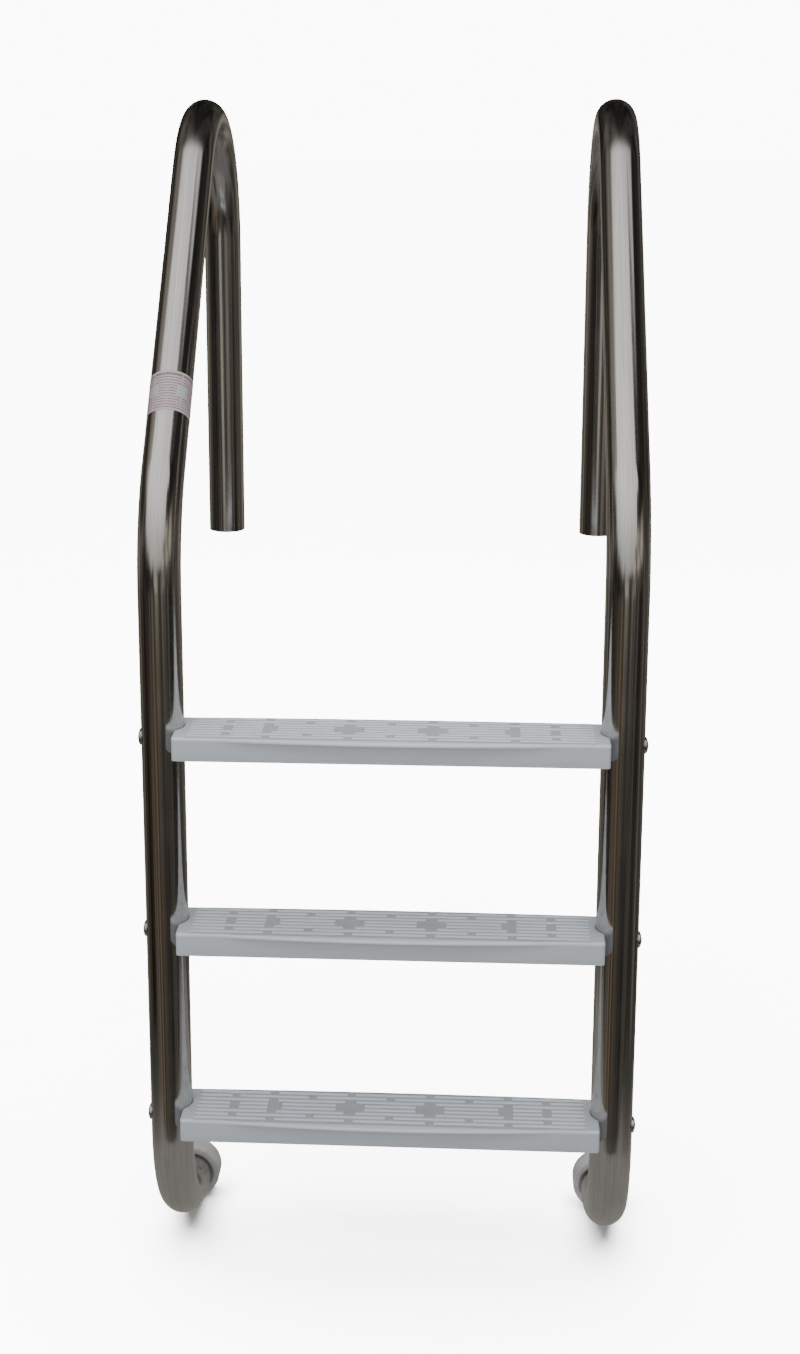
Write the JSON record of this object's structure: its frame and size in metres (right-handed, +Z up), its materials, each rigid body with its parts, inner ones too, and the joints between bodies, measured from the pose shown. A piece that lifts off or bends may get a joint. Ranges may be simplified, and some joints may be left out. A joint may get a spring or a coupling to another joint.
{
  "type": "pool ladder",
  "caption": "In-ground pool ladder with bent stainless tube rails, moulded ribbed treads bolted between them, and round wall bumpers on the toes.",
  "frame": {"origin": "the middle of the ladder's width and depth, on the level of its lowest point, the underside of the bumpers", "axes": "+X to the climber's right when facing the deck, +Y from the water towards the deck, +Z up"},
  "size_m": [0.575, 0.6864, 1.3383],
  "materials": {
    "rail_steel": "polished stainless tube with faint streaks along its length",
    "fastener_steel": "plain stainless",
    "tread": "pale blue-grey moulded plastic with fine ribs and stippled pads",
    "bumper": "soft light grey moulded vinyl",
    "label": "thin printed film, blank"
  },
  "bodies": {
    "root": {"bottom_left_bolt": "fastener_steel", "bottom_left_nut": "fastener_steel", "bottom_left_washer": "fastener_steel", "bottom_right_bolt": "fastener_steel", "bottom_right_nut": "fastener_steel", "bottom_right_washer": "fastener_steel", "bottom_tread": "tread", "left_bumper": "bumper", "left_rail": "rail_steel", "middle_left_bolt": "fastener_steel", "middle_left_nut": "fastener_steel", "middle_left_washer": "fastener_steel", "middle_right_bolt": "fastener_steel", "middle_right_nut": "fastener_steel", "middle_right_washer": "fastener_steel", "middle_tread": "tread", "rail_label": "label", "right_bumper": "bumper", "right_rail": "rail_steel", "top_left_bolt": "fastener_steel", "top_left_nut": "fastener_steel", "top_left_washer": "fastener_steel", "top_right_bolt": "fastener_steel", "top_right_nut": "fastener_steel", "top_right_washer": "fastener_steel", "top_tread": "tread"}
  },
  "joints": []
}
